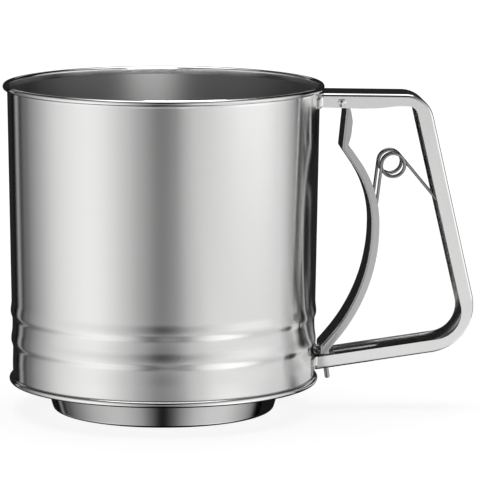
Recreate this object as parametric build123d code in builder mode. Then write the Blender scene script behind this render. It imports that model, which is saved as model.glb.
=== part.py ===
from build123d import *
import os
from math import asin, cos, degrees, radians, sin

os.makedirs("parts", exist_ok=True)

# Flour sifter with a squeeze trigger, in millimetres.
# Origin: centre of the foot ring, on the table. +X points to the handle and +Z up the cup.
# The trigger is shown released, which is the rest position of every joint.

# General: a length past the whole sifter for cuts that go right through, and a hair's breadth
BEYOND = 200.0
HAIR = 0.1

# Cup
SHEET = 0.6
RIM_RADIUS = 65.0
RIM_CURL = 1.2
RIM_CURL_TURN = 275.0
CUP_HEIGHT = 133.2
RIM_Z = CUP_HEIGHT - RIM_CURL
WALL_RADIUS_TOP = RIM_RADIUS - 2 * RIM_CURL + SHEET
WALL_RADIUS_BASE = 61.3
SEAM_Z = 12.74
SEAM_CURL = 1.3
SEAM_RADIUS = 61.5
HEM_REACH = 62.0
RIDGE_HEIGHTS = (28.8, 40.3)
RIDGE_OUT = 0.45
RIDGE_IN = 0.35

# Base pan and outlet collar
FLOOR_TOP = SEAM_Z - SEAM_CURL + SHEET
FLOOR_BOTTOM = FLOOR_TOP - SHEET
COLLAR_TOP = 48.2
COLLAR_BASE = 45.3
COLLAR_BEND = 0.8
FOOT_CORNER = 1.8
HEM_RADIUS = 41.8
HEM = 1.2

# Screen and its support
MESH = 0.4
MESH_TOP = FLOOR_TOP + MESH
MESH_RADIUS = 60.0
RING_BORE = 49.0
RING_LIP = 4.0
BAR_WIDTH = 9.0
BAR = 1.0
BAR_TAB = 6.0

# Agitator on its axle
AXLE_RADIUS = 2.0
SEATED_FIT = 0.02
RUNNING_FIT = 0.06
END_PLAY = 0.1
WASHER = 0.8
WASHER_RADIUS = 4.6
HUB_RADIUS = 5.0
HUB_TOP = 20.0
BLADE_COUNT = 4
BLADE_SHEET = 0.8
BLADE_REACH = 47.0
BLADE_OVERRUN = 4.0
BLADE_HEIGHT = 5.6
BLADE_GAP = 0.5
BLADE_LEAN = 20.0
CRANK_RADIUS = 21.0
CRANK_PIN = 1.5
CRANK_PIN_CHAMFER = 0.4
CRANK_PIN_HEAD = 2.3
CRANK_PIN_HEAD_HEIGHT = 0.6
CRANK_TOP = 27.0
ARM = 1.2
ARM_WIDTH = 8.0
ARM_TOP = HUB_TOP + ARM
NUT_FLATS = 7.0
NUT_DOME = 3.3
NUT_DOME_BEND = 2.4
NUT_TOP = 28.0
AXLE_TOP = NUT_TOP - 2.0
AXLE_HEAD = 1.4
AXLE_HEAD_RADIUS = 3.6
AXLE_HEAD_BEND = 0.8

# Link wire between trigger and agitator
LINK = 1.0
LINK_Z = 24.3
LINK_STROKE = 22.1
CRANK_SWING = asin(LINK_STROKE / 2 / CRANK_RADIUS)
PIN_X = -CRANK_RADIUS * sin(CRANK_SWING)
PIN_Y = CRANK_RADIUS * cos(CRANK_SWING)
EYE_Y = (CRANK_RADIUS + PIN_Y) / 2
EYE_PLAY = 0.45
EYE_SPARE = 0.4
PEG_TOP = (65.3, LINK_Z)
PEG_TIP = (67.1, 11.5)
OFFSET_FROM = 33.0
OFFSET_TO = 10.0
LINK_BENDS = (2.2, 9.0, 9.0)
EYELET_BORE = LINK + 0.1
EYELET_INNER_FLANGE = 2.9
EYELET_OUTER_FLANGE = 3.2

# Handle, a channel bent to a D with its open side inwards
HANDLE_WIDTH = 21.0
HANDLE_SHEET = 0.9
HANDLE_CORNER = 1.3
HANDLE_START = 50.0
HANDLE_OUTER = ((HANDLE_START, 130.0), (106.6, 129.04), (129.96, 26.24), (HANDLE_START, 15.03))
HANDLE_OUTER_BENDS = (11.8, 19.6)
HANDLE_INNER = ((HANDLE_START, 124.0), (64.0, 124.0), (79.0, 123.45), (86.5, 123.55), (94.0, 124.35),
                (101.4, 124.2), (123.3, 30.5), (HANDLE_START, 20.4))
HANDLE_INNER_BENDS = (20.0, 20.0, 8.0, 10.0, 4.0, 11.3)
WELD_TAB = 5.0
WELD_TABS_TOP = (124.0, 129.6)
WELD_TABS_LOW = (16.8, 21.9)
TAB_BLOCK = 20.0
PEG_SLOT = 2.8
PEG_SLOT_START = 66.3
PEG_SLOT_SPARE = 0.8

# Trigger, a narrower channel with its open side to the handle
TRIGGER_WIDTH = 18.5
TRIGGER_SHEET = 0.8
TRIGGER_DEPTH = 3.4
TRIGGER_CORNER = 0.9
TRIGGER_WEB = ((75.1, 142.0), (71.6, 106.9), (83.7, 89.0), (83.7, 49.5), (63.4, 26.1), (63.4, 20.75),
               (140.0, 15.39), (140.0, 142.0))
TRIGGER_BENDS = (1.5, 42.0, 69.0, 2.0, 1.0, 0.0)
TRIGGER_TRIM = ((60.0, 15.0), (70.4, 15.0), (70.4, 26.0), (90.0, 45.0), (90.0, 116.0), (76.6, 117.5),
                (74.9, 123.6), (60.0, 123.6))
TRIGGER_NOTCH = ((74.0, 107.9), (75.4, 112.2), (88.0, 112.2), (88.0, 100.0), (80.3, 102.4), (77.3, 105.7))
FOOT_WIDTH = 14.6
FOOT_TOP = 23.0
WIRE_SLOT_X = 63.4
WIRE_SLOT_Z = 24.5
WIRE_SLOT_HEIGHT = 5.0
WIRE_SLOT_WIDTH = 3.0
PEG_HOLE = (66.0, 0.0)
PEG_HOLE_RADIUS = 1.6
PIVOT = (71.34, 125.85)
PIVOT_PIN = 1.25
PIVOT_HEAD = 1.8
PIVOT_HEAD_RISE = 0.6
EAR = 2.4
EAR_NECK = ((72.4, 122.5), (75.2, 122.5), (73.5, 126.2), (69.4, 124.4))

# Return spring, a double torsion spring between trigger and handle
WIRE = 0.6
COIL = (92.7, 99.95)
COIL_RADIUS = 4.75
COIL_Y = 6.0
LEG_Y = 7.5
HANDLE_LEG_LEAVES = 39.7
HANDLE_LEG_END = (115.9, 79.45)
HANDLE_LEG_BEND = 1.5
TRIGGER_LEG_LEAVES = 173.0
TRIGGER_LEG = 21.6


def wall_radius(z):
    """Outer radius of the plain, slightly tapered cup wall."""
    taper = (WALL_RADIUS_TOP - WALL_RADIUS_BASE) / (RIM_Z - SEAM_Z)
    return WALL_RADIUS_BASE + taper * (z - SEAM_Z)


def collar_radius(z):
    """Outer radius of the outlet collar, which narrows towards the foot."""
    share = (z - FOOT_CORNER) / (FLOOR_BOTTOM - FOOT_CORNER)
    return COLLAR_BASE + share * (COLLAR_TOP - COLLAR_BASE)


def ridge_points(crest, inset):
    """A pressed ridge: a long slope above its crest and a short step to a groove below."""
    shape = ((-5.0, 0.0), (-3.0, -RIDGE_IN), (-1.7, -RIDGE_IN), (0.0, RIDGE_OUT), (5.0, 0.0))
    return [(wall_radius(crest + rise) + out - inset, crest + rise) for rise, out in shape]


def wall_face(inset, start_z):
    """One face of the wall's sheet, from start_z up to the rim's curl."""
    start = (wall_radius(start_z) - inset, start_z)
    for crest in RIDGE_HEIGHTS:
        points = ridge_points(crest, inset)
        Line(start, points[0])
        Spline(*points, tangents=((0, 1), (0, 1)))
        start = points[-1]
    Line(start, (WALL_RADIUS_TOP - inset, RIM_Z))


def annulus(outer, inner, low, high):
    """A flat ring about the cup's axis."""
    with BuildPart() as ring:
        with BuildSketch(Plane.XY.offset(low)):
            Circle(outer)
            Circle(inner, mode=Mode.SUBTRACT)
        extrude(amount=high - low)
    return ring


# Cup wall, with a curled rim, two ridges and a hem that the base pan's seam holds
HEM_TOP = SEAM_Z + SHEET / 2
with BuildPart() as cup_wall:
    with BuildSketch(Plane.XZ):
        with BuildLine():
            wall_face(0.0, HEM_TOP)
            wall_face(SHEET, FLOOR_TOP)
            curl_centre = Vector(WALL_RADIUS_TOP - SHEET + RIM_CURL, RIM_Z)
            CenterArc(curl_centre, RIM_CURL, 180, -RIM_CURL_TURN)
            CenterArc(curl_centre, RIM_CURL - SHEET, 180, -RIM_CURL_TURN)
            curl_end = Vector(cos(radians(180 - RIM_CURL_TURN)), sin(radians(180 - RIM_CURL_TURN)))
            Line(curl_centre + curl_end * RIM_CURL, curl_centre + curl_end * (RIM_CURL - SHEET))
            Polyline(
                (wall_radius(FLOOR_TOP) - SHEET, FLOOR_TOP),
                (WALL_RADIUS_BASE, FLOOR_TOP),
                (WALL_RADIUS_BASE, HEM_TOP - SHEET),
                (HEM_REACH, HEM_TOP - SHEET),
                (HEM_REACH, HEM_TOP),
                (wall_radius(HEM_TOP), HEM_TOP),
            )
        make_face()
    revolve(axis=Axis.Z)
    with BuildSketch(Plane.YZ):
        with Locations((0, LINK_Z)):
            Circle(2 * LINK + SEATED_FIT)
    extrude(amount=BEYOND, mode=Mode.SUBTRACT)
cup_wall.part.label = "cup_wall"
export_step(cup_wall.part, "parts/cup_wall.step")

# Base pan: a floor with the seam rolled round the wall's hem, and the outlet collar and foot
with BuildPart() as base_pan:
    with BuildSketch(Plane.XZ):
        with BuildLine():
            seam = (SEAM_RADIUS, SEAM_Z)
            CenterArc(seam, SEAM_CURL, -90, 180)
            CenterArc(seam, SEAM_CURL - SHEET, -90, 180)
            Line((SEAM_RADIUS, SEAM_Z + SEAM_CURL), (SEAM_RADIUS, SEAM_Z + SEAM_CURL - SHEET))
            FilletPolyline(
                (SEAM_RADIUS, FLOOR_BOTTOM),
                (COLLAR_TOP, FLOOR_BOTTOM),
                (collar_radius(0), 0),
                (HEM_RADIUS, 0),
                radius=(COLLAR_BEND, FOOT_CORNER),
            )
            Polyline(
                (HEM_RADIUS, 0),
                (HEM_RADIUS, HEM),
                (collar_radius(HEM) - 2 * SHEET, HEM),
                (collar_radius(2 * HEM) - SHEET, 2 * HEM),
                (collar_radius(FLOOR_TOP) - SHEET, FLOOR_TOP),
                (SEAM_RADIUS, FLOOR_TOP),
            )
        make_face()
    revolve(axis=Axis.Z)
base_pan.part.label = "base_pan"
export_step(base_pan.part, "parts/base_pan.step")

# Screen: a disc of woven mesh, clamped round its edge by a ring with an upturned lip
screen_mesh = annulus(MESH_RADIUS, AXLE_RADIUS + SEATED_FIT, FLOOR_TOP, MESH_TOP)
screen_mesh.part.label = "screen_mesh"
export_step(screen_mesh.part, "parts/screen_mesh.step")

with BuildPart() as screen_ring:
    with BuildSketch(Plane.XZ):
        Polygon(
            (RING_BORE, MESH_TOP),
            (MESH_RADIUS + SHEET, MESH_TOP),
            (MESH_RADIUS + SHEET, MESH_TOP + RING_LIP),
            (MESH_RADIUS, MESH_TOP + RING_LIP),
            (MESH_RADIUS, MESH_TOP + SHEET),
            (RING_BORE, MESH_TOP + SHEET),
            align=None,
        )
    revolve(axis=Axis.Z)
screen_ring.part.label = "screen_ring"
export_step(screen_ring.part, "parts/screen_ring.step")

# Support bar: a strap under the mesh, its ends bent down along the collar's inside
with BuildPart() as support_bar:
    with BuildSketch(Plane.XZ):
        inside_top = collar_radius(FLOOR_TOP) - SHEET
        inside_low = collar_radius(FLOOR_TOP - BAR_TAB) - SHEET
        Polygon(
            (0, FLOOR_TOP - BAR),
            (inside_top - 2 * BAR, FLOOR_TOP - BAR),
            (inside_low - BAR, FLOOR_TOP - BAR_TAB),
            (inside_low, FLOOR_TOP - BAR_TAB),
            (inside_top, FLOOR_TOP),
            (0, FLOOR_TOP),
            align=None,
        )
    revolve(axis=Axis.Z)
    with BuildSketch():
        Rectangle(BEYOND, BAR_WIDTH)
    extrude(amount=CUP_HEIGHT, mode=Mode.INTERSECT)
    with BuildSketch():
        Circle(AXLE_RADIUS + SEATED_FIT)
    extrude(amount=CUP_HEIGHT, mode=Mode.SUBTRACT)
support_bar.part.label = "support_bar"
export_step(support_bar.part, "parts/support_bar.step")

# Axle: a headed stud up through the strap and the mesh, with the agitator clamped over it
HUB_BASE = MESH_TOP + WASHER + END_PLAY
UPPER_WASHER = ARM_TOP + END_PLAY
NUT_BASE = UPPER_WASHER + WASHER
with BuildPart() as axle:
    with BuildSketch(Plane.XY.offset(FLOOR_TOP - BAR)):
        Circle(AXLE_RADIUS)
    extrude(amount=AXLE_TOP - FLOOR_TOP + BAR)
    with BuildSketch(Plane.XY.offset(FLOOR_TOP - BAR - AXLE_HEAD)):
        Circle(AXLE_HEAD_RADIUS)
    extrude(amount=AXLE_HEAD)
    fillet(axle.edges().group_by(Axis.Z)[0], AXLE_HEAD_BEND)
axle.part.label = "axle"
export_step(axle.part, "parts/axle.step")

lower_washer = annulus(WASHER_RADIUS, AXLE_RADIUS + SEATED_FIT, MESH_TOP, MESH_TOP + WASHER)
lower_washer.part.label = "lower_washer"
export_step(lower_washer.part, "parts/lower_washer.step")

upper_washer = annulus(WASHER_RADIUS, AXLE_RADIUS + SEATED_FIT, UPPER_WASHER, NUT_BASE)
upper_washer.part.label = "upper_washer"
export_step(upper_washer.part, "parts/upper_washer.step")

with BuildPart() as cap_nut:
    with BuildSketch(Plane.XY.offset(NUT_BASE)):
        Circle(NUT_DOME)
    extrude(amount=NUT_TOP - NUT_BASE)
    fillet(cap_nut.edges().group_by(Axis.Z)[-1], NUT_DOME_BEND)
    with BuildSketch(Plane.XY.offset(NUT_BASE)):
        RegularPolygon(NUT_FLATS / 2, 6, major_radius=False)
    extrude(amount=NUT_FLATS / 2)
    with BuildSketch(Plane.XY.offset(NUT_BASE)):
        Circle(AXLE_RADIUS + SEATED_FIT)
    extrude(amount=AXLE_TOP - NUT_BASE + END_PLAY, mode=Mode.SUBTRACT)
cap_nut.part.label = "cap_nut"
export_step(cap_nut.part, "parts/cap_nut.step")

# Agitator: a hub with leaning blades just above the mesh
rotor_hub = annulus(HUB_RADIUS, AXLE_RADIUS + RUNNING_FIT, HUB_BASE, HUB_TOP)
rotor_hub.part.label = "rotor_hub"
export_step(rotor_hub.part, "parts/rotor_hub.step")

crank_angle = 90 + degrees(CRANK_SWING)
blade_middle = MESH_TOP + BLADE_GAP + BLADE_HEIGHT / 2
blade_length = BLADE_REACH + BLADE_OVERRUN
for number in range(BLADE_COUNT):
    turn = crank_angle + (number + 0.5) * 360 / BLADE_COUNT
    along = Vector(cos(radians(turn)), sin(radians(turn)))
    upright = Vector(0, 0, 1).rotate(Axis((0, 0, 0), along), BLADE_LEAN)
    blade_plane = Plane((0, 0, blade_middle), x_dir=along, z_dir=upright)
    with BuildPart() as blade:
        with BuildSketch(Plane.XY.offset(MESH_TOP + BLADE_GAP)):
            Circle(BLADE_REACH)
            Circle(HUB_RADIUS, mode=Mode.SUBTRACT)
        extrude(amount=BLADE_HEIGHT)
        with BuildSketch(blade_plane):
            with Locations((blade_length / 2, 0)):
                Rectangle(blade_length, BLADE_SHEET)
        extrude(amount=2 * BLADE_HEIGHT, both=True, mode=Mode.INTERSECT)
    blade.part.label = f"blade_{number + 1}"
    export_step(blade.part, f"parts/blade_{number + 1}.step")

# Crank: an arm on the hub with the pin that the link's eye pulls
crank_plane = Plane.XY.offset(HUB_TOP).rotated((0, 0, crank_angle))
with BuildPart() as crank_arm:
    with BuildSketch(crank_plane):
        with Locations((CRANK_RADIUS / 2, 0)):
            SlotCenterToCenter(CRANK_RADIUS, ARM_WIDTH)
        Circle(AXLE_RADIUS + RUNNING_FIT, mode=Mode.SUBTRACT)
        with Locations((CRANK_RADIUS, 0)):
            Circle(CRANK_PIN, mode=Mode.SUBTRACT)
    extrude(amount=ARM)
crank_arm.part.label = "crank_arm"
export_step(crank_arm.part, "parts/crank_arm.step")

with BuildPart() as crank_pin:
    with BuildSketch(Plane.XY.offset(HUB_TOP)):
        with Locations((PIN_X, PIN_Y)):
            Circle(CRANK_PIN)
    extrude(amount=CRANK_TOP - HUB_TOP)
    chamfer(crank_pin.edges().group_by(Axis.Z)[-1], CRANK_PIN_CHAMFER)
    with BuildSketch(Plane.XY.offset(HUB_TOP - CRANK_PIN_HEAD_HEIGHT)):
        with Locations((PIN_X, PIN_Y)):
            Circle(CRANK_PIN_HEAD)
    extrude(amount=CRANK_PIN_HEAD_HEIGHT)
crank_pin.part.label = "crank_pin"
export_step(crank_pin.part, "parts/crank_pin.step")

# Link wire: peg, straight run through the wall, offset run and eye round the crank pin
eye_half = CRANK_PIN + EYE_PLAY + LINK
eye_straight = (CRANK_RADIUS - PIN_Y) / 2 + EYE_SPARE
with BuildPart() as link_wire:
    with BuildLine() as link_path:
        FilletPolyline(
            (PEG_TIP[0], 0, PEG_TIP[1]),
            (PEG_TOP[0], 0, PEG_TOP[1]),
            (OFFSET_FROM, 0, LINK_Z),
            (OFFSET_TO, EYE_Y, LINK_Z),
            (PIN_X + eye_half, EYE_Y, LINK_Z),
            radius=LINK_BENDS,
        )
    with BuildSketch(Plane(link_path.line @ 0, z_dir=link_path.line % 0)):
        Circle(LINK)
    sweep(path=link_path.line)
    with BuildLine(Plane.XY.offset(LINK_Z)) as eye_path:
        Line((PIN_X + eye_half, EYE_Y - eye_straight), (PIN_X + eye_half, EYE_Y + eye_straight))
        CenterArc((PIN_X, EYE_Y + eye_straight), eye_half, 0, 180)
        Line((PIN_X - eye_half, EYE_Y + eye_straight), (PIN_X - eye_half, EYE_Y - eye_straight))
        CenterArc((PIN_X, EYE_Y - eye_straight), eye_half, 180, 180)
    with BuildSketch(Plane(eye_path.line @ 0, z_dir=eye_path.line % 0)):
        Circle(LINK)
    sweep(path=eye_path.line)
link_wire.part.label = "link_wire"
export_step(link_wire.part, "parts/link_wire.step")

# Eyelet that lines the hole in the wall
with BuildPart() as link_eyelet:
    inside = WALL_RADIUS_BASE - SHEET - RIDGE_IN
    outside = wall_radius(LINK_Z) + END_PLAY
    for start, end, radius in (
        (inside - SHEET, inside, EYELET_INNER_FLANGE),
        (inside, outside, 2 * LINK),
        (outside, outside + SHEET, EYELET_OUTER_FLANGE),
    ):
        with BuildSketch(Plane.YZ.offset(start)):
            with Locations((0, LINK_Z)):
                Circle(radius)
        extrude(amount=end - start)
    fillet(link_eyelet.edges().group_by(Axis.X)[-1], SHEET / 2)
    with BuildSketch(Plane.YZ):
        with Locations((0, LINK_Z)):
            Circle(EYELET_BORE)
    extrude(amount=RIM_RADIUS, mode=Mode.SUBTRACT)
link_eyelet.part.label = "link_eyelet"
export_step(link_eyelet.part, "parts/link_eyelet.step")

# Handle: a closed D cut back to a channel, with its ends trimmed to the wall and flared to weld on
with BuildPart() as cup_solid:
    with BuildSketch(Plane.XZ):
        Polygon(
            (0, 0),
            (wall_radius(0), 0),
            (wall_radius(CUP_HEIGHT), CUP_HEIGHT),
            (0, CUP_HEIGHT),
            align=None,
        )
    revolve(axis=Axis.Z)


def side_region(points, bends, inset=0.0):
    """The flat region that a bent outline closes off, shrunk by inset on every side."""
    with BuildSketch(Plane.XZ) as region:
        with BuildLine():
            FilletPolyline(*points, radius=bends)
            Line(points[-1], points[0])
        make_face()
        if inset:
            offset(amount=-inset, kind=Kind.INTERSECTION, mode=Mode.REPLACE)
    return region.sketch


def side_edges(solid, width, low_x, high_x):
    """Edges on a solid's two side faces whose middles lie between two places along X."""
    return solid.edges().filter_by(
        lambda edge: abs(edge.center().Y) > width / 2 - HAIR and low_x < edge.center().X < high_x
    )


def weld_tabs(low, high):
    """A pair of short curved tabs that lie on the wall beside one end of the handle."""
    with BuildPart() as tabs:
        with BuildSketch(Plane.XZ):
            Polygon(
                (wall_radius(low), low),
                (wall_radius(low) + HANDLE_SHEET, low),
                (wall_radius(high) + HANDLE_SHEET, high),
                (wall_radius(high), high),
                align=None,
            )
        revolve(axis=Axis.Z)
        with BuildSketch():
            with Locations((RIM_RADIUS, 0)):
                Rectangle(TAB_BLOCK, HANDLE_WIDTH + 2 * WELD_TAB)
                Rectangle(TAB_BLOCK, HANDLE_WIDTH - 2 * HANDLE_SHEET, mode=Mode.SUBTRACT)
        extrude(amount=CUP_HEIGHT, mode=Mode.INTERSECT)
    return tabs.part


with BuildPart() as handle:
    extrude(side_region(HANDLE_OUTER, HANDLE_OUTER_BENDS), amount=HANDLE_WIDTH / 2, both=True)
    fillet(side_edges(handle, HANDLE_WIDTH, HANDLE_START + HAIR, BEYOND), HANDLE_CORNER)
    web_inside = side_region(HANDLE_OUTER, HANDLE_OUTER_BENDS, HANDLE_SHEET)
    extrude(web_inside, amount=HANDLE_WIDTH / 2 - HANDLE_SHEET, both=True, mode=Mode.SUBTRACT)
    opening = side_region(HANDLE_INNER, HANDLE_INNER_BENDS)
    extrude(opening, amount=HANDLE_WIDTH, both=True, mode=Mode.SUBTRACT)
    add(weld_tabs(*WELD_TABS_TOP))
    add(weld_tabs(*WELD_TABS_LOW))
    add(cup_solid.part, mode=Mode.SUBTRACT)
    with BuildSketch(Plane.XZ):
        with Locations(PIVOT):
            Circle(PIVOT_PIN + SEATED_FIT)
    extrude(amount=HANDLE_WIDTH, both=True, mode=Mode.SUBTRACT)
    with BuildSketch():
        with Locations((PEG_SLOT_START + LINK_STROKE / 2, 0)):
            SlotOverall(LINK_STROKE + PEG_SLOT + PEG_SLOT_SPARE, PEG_SLOT)
    extrude(amount=LINK_Z, mode=Mode.SUBTRACT)
handle.part.label = "handle"
export_step(handle.part, "parts/handle.step")

# Pivot pin, headed at both ends, through the handle and the trigger's ears
with BuildPart() as pivot_pin:
    with BuildSketch(Plane.XZ):
        with Locations(PIVOT):
            Circle(PIVOT_PIN)
    extrude(amount=HANDLE_WIDTH / 2 + PIVOT_HEAD_RISE, both=True)
    for side in (-1, 1):
        with BuildSketch(Plane.XZ.offset(side * HANDLE_WIDTH / 2)):
            with Locations(PIVOT):
                Circle(PIVOT_HEAD)
        extrude(amount=side * PIVOT_HEAD_RISE)
    ends = side_edges(pivot_pin, HANDLE_WIDTH + 2 * PIVOT_HEAD_RISE, 0, BEYOND)
    fillet(ends, PIVOT_HEAD_RISE / 2)
pivot_pin.part.label = "pivot_pin"
export_step(pivot_pin.part, "parts/pivot_pin.step")

# Trigger: a channel along its web's outline, with ears round the pivot and a foot round the peg
with BuildPart() as trigger:
    extrude(side_region(TRIGGER_WEB, TRIGGER_BENDS), amount=TRIGGER_WIDTH / 2, both=True)
    fillet(side_edges(trigger, TRIGGER_WIDTH, 0, COIL[0]), TRIGGER_CORNER)
    open_side = side_region(TRIGGER_WEB, TRIGGER_BENDS, TRIGGER_DEPTH)
    extrude(open_side, amount=TRIGGER_WIDTH, both=True, mode=Mode.SUBTRACT)
    web_inside = side_region(TRIGGER_WEB, TRIGGER_BENDS, TRIGGER_SHEET)
    extrude(web_inside, amount=TRIGGER_WIDTH / 2 - TRIGGER_SHEET, both=True, mode=Mode.SUBTRACT)
    with BuildSketch(Plane.XZ):
        Polygon(*TRIGGER_TRIM, align=None)
    extrude(amount=TRIGGER_WIDTH, both=True, mode=Mode.INTERSECT)
    with BuildSketch(Plane.XZ):
        Polygon(*TRIGGER_NOTCH, align=None)
    extrude(amount=TRIGGER_WIDTH, both=True, mode=Mode.SUBTRACT)
    for flange in (TRIGGER_WIDTH / 2 - TRIGGER_SHEET, -TRIGGER_WIDTH / 2):
        with BuildSketch(Plane.XZ.offset(flange)):
            with Locations(PIVOT):
                Circle(EAR)
            Polygon(*EAR_NECK, align=None)
        extrude(amount=TRIGGER_SHEET)
    with BuildSketch(Plane.XZ):
        with Locations(PIVOT):
            Circle(PIVOT_PIN + RUNNING_FIT)
    extrude(amount=TRIGGER_WIDTH, both=True, mode=Mode.SUBTRACT)
    with BuildSketch():
        with GridLocations(BEYOND, TRIGGER_WIDTH, 1, 2):
            Rectangle(BEYOND, TRIGGER_WIDTH - FOOT_WIDTH)
    extrude(amount=FOOT_TOP, mode=Mode.SUBTRACT)
    with BuildSketch(Plane.YZ.offset(WIRE_SLOT_X)):
        with Locations((0, WIRE_SLOT_Z)):
            SlotOverall(WIRE_SLOT_HEIGHT, WIRE_SLOT_WIDTH, rotation=90)
    extrude(amount=TRIGGER_SHEET * 2, both=True, mode=Mode.SUBTRACT)
    with BuildSketch():
        with Locations(PEG_HOLE):
            Circle(PEG_HOLE_RADIUS)
    extrude(amount=FOOT_TOP, mode=Mode.SUBTRACT)
trigger.part.label = "trigger"
export_step(trigger.part, "parts/trigger.step")


def coil_point(angle):
    """Where the wire's centre line leaves the coil, as x and z."""
    return (
        COIL[0] + COIL_RADIUS * cos(radians(angle)),
        COIL[1] + COIL_RADIUS * sin(radians(angle)),
    )


# Return spring: two coils with legs to a crossbar in the handle
with BuildPart() as spring_coils:
    leg_x, leg_z = coil_point(HANDLE_LEG_LEAVES)
    bar_x, bar_z = HANDLE_LEG_END
    with BuildLine() as leg_path:
        FilletPolyline(
            (leg_x, -COIL_Y, leg_z),
            (bar_x, -COIL_Y, bar_z),
            (bar_x, COIL_Y, bar_z),
            (leg_x, COIL_Y, leg_z),
            radius=HANDLE_LEG_BEND,
        )
    with BuildSketch(Plane(leg_path.line @ 0, z_dir=leg_path.line % 0)):
        Circle(WIRE)
    sweep(path=leg_path.line)
    for side in (-COIL_Y, COIL_Y):
        with BuildSketch(Plane.XZ.offset(side - WIRE)):
            with Locations(COIL):
                Circle(COIL_RADIUS + WIRE)
                Circle(COIL_RADIUS - WIRE, mode=Mode.SUBTRACT)
        extrude(amount=2 * WIRE)
spring_coils.part.label = "spring_coils"
export_step(spring_coils.part, "parts/spring_coils.step")

# The spring's two other legs, which press on the inside of the trigger's web
with BuildPart() as spring_legs:
    leg_x, leg_z = coil_point(TRIGGER_LEG_LEAVES)
    down = (-sin(radians(TRIGGER_LEG_LEAVES)), 0, cos(radians(TRIGGER_LEG_LEAVES)))
    for side in (-LEG_Y, LEG_Y):
        with BuildSketch(Plane((leg_x, side, leg_z), z_dir=down)):
            Circle(WIRE)
        extrude(amount=TRIGGER_LEG)
spring_legs.part.label = "spring_legs"
export_step(spring_legs.part, "parts/spring_legs.step")
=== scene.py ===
from math import acos, asin, atan2, ceil, cos, degrees, pi, radians, sin, sqrt, tan

import bmesh
import bpy
from mathutils import Matrix, Vector


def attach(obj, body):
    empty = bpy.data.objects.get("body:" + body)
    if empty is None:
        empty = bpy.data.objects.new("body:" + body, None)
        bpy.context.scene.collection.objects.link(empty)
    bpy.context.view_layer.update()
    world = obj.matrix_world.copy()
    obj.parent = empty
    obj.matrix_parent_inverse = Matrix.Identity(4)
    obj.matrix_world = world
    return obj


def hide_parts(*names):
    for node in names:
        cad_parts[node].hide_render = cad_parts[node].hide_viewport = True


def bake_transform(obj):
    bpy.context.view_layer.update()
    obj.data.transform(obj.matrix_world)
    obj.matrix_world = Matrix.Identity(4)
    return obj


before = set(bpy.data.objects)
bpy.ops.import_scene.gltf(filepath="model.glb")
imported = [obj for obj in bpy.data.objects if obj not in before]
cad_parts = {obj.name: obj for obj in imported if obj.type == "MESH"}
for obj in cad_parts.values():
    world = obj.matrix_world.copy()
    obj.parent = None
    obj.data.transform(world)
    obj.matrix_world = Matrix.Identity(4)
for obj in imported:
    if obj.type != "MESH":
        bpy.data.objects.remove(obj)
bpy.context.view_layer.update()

# All shapes are written in millimetres and made in metres. Z is up the cup and +X is the handle.
MM = 0.001

# Cup
SHEET = 0.6
RIM_Z = 132.0
RIM_CURL = 1.2
WALL_TOP = 63.2
WALL_BASE = 61.3
WALL_START_Z = 13.04
WALL_SEGMENTS = 360
SEAM_Z = 12.74
SEAM_CURL = 1.3
SEAM_RADIUS = 61.5
FLOOR_TOP = 12.04
FLOOR_BOTTOM = 11.44
RIDGES = (28.8, 40.3)
# Height from a ridge's crest, and how far the wall stands out there
RIDGE_SHAPE = ((-10.0, 0.0), (-3.6, -0.22), (-2.9, -0.22), (0.0, 0.45), (4.6, 0.0))

# Mechanism
LINK_Z = 24.3
LINK_RADIUS = 1.0
EYELET_RADIUS = 2.0
AXLE_RADIUS = 2.0
PIN_X = -11.05

# Handle and trigger
HANDLE_WIDTH = 21.0
HANDLE_SHEET = 0.9
TAB_BEND = 0.9
TAB_REACH = 15.5
TRIGGER_WIDTH = 18.5
TRIGGER_SHEET = 0.8
PIVOT = (71.34, 125.85)

# Return spring
WIRE = 0.62
COIL = (92.7, 99.95)
COIL_RADIUS = 4.75


def wall_radius(z):
    """Outer radius of the plain tapered wall."""
    return WALL_BASE + (WALL_TOP - WALL_BASE) * (z - SEAM_Z) / (RIM_Z - SEAM_Z)


# ---------------------------------------------------------------- mesh helpers


def new_piece(name, vertices, faces, material, body, nodes=(), closed=True, sharp=35):
    """A mesh from points in millimetres. With a body, it rides on it and stands for the CAD nodes."""
    mesh = bpy.data.meshes.new(name)
    mesh.from_pydata([tuple(c * MM for c in v) for v in vertices], [], faces)
    if closed:
        work = bmesh.new()
        work.from_mesh(mesh)
        bmesh.ops.recalc_face_normals(work, faces=work.faces)
        work.to_mesh(mesh)
        work.free()
    mesh.shade_smooth()
    mesh.set_sharp_from_angle(angle=radians(sharp))
    piece = bpy.data.objects.new(name, mesh)
    bpy.context.scene.collection.objects.link(piece)
    mesh.materials.append(material)
    if body:
        finish_piece(piece, body, nodes)
    return piece


def finish_piece(piece, body, nodes):
    """Hangs a finished piece on its body's empty and hides the CAD nodes that it stands for."""
    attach(piece, body)
    if nodes:
        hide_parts(*nodes)


def bake_modifiers(piece, sharp=30, keep_normals=False):
    """Replaces a piece's mesh by the result of its modifiers."""
    graph = bpy.context.evaluated_depsgraph_get()
    mesh = bpy.data.meshes.new_from_object(
        piece.evaluated_get(graph), preserve_all_data_layers=keep_normals, depsgraph=graph
    )
    piece.modifiers.clear()
    piece.data = mesh
    if not keep_normals:
        mesh.shade_smooth()
        mesh.set_sharp_from_angle(angle=radians(sharp))


def weight_normals(piece):
    """Keeps flat faces flat-looking beside rounded edges."""
    modifier = piece.modifiers.new("weighted", "WEIGHTED_NORMAL")
    modifier.mode = "FACE_AREA"
    modifier.weight = 80
    modifier.keep_sharp = True
    bake_modifiers(piece, keep_normals=True)


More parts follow.
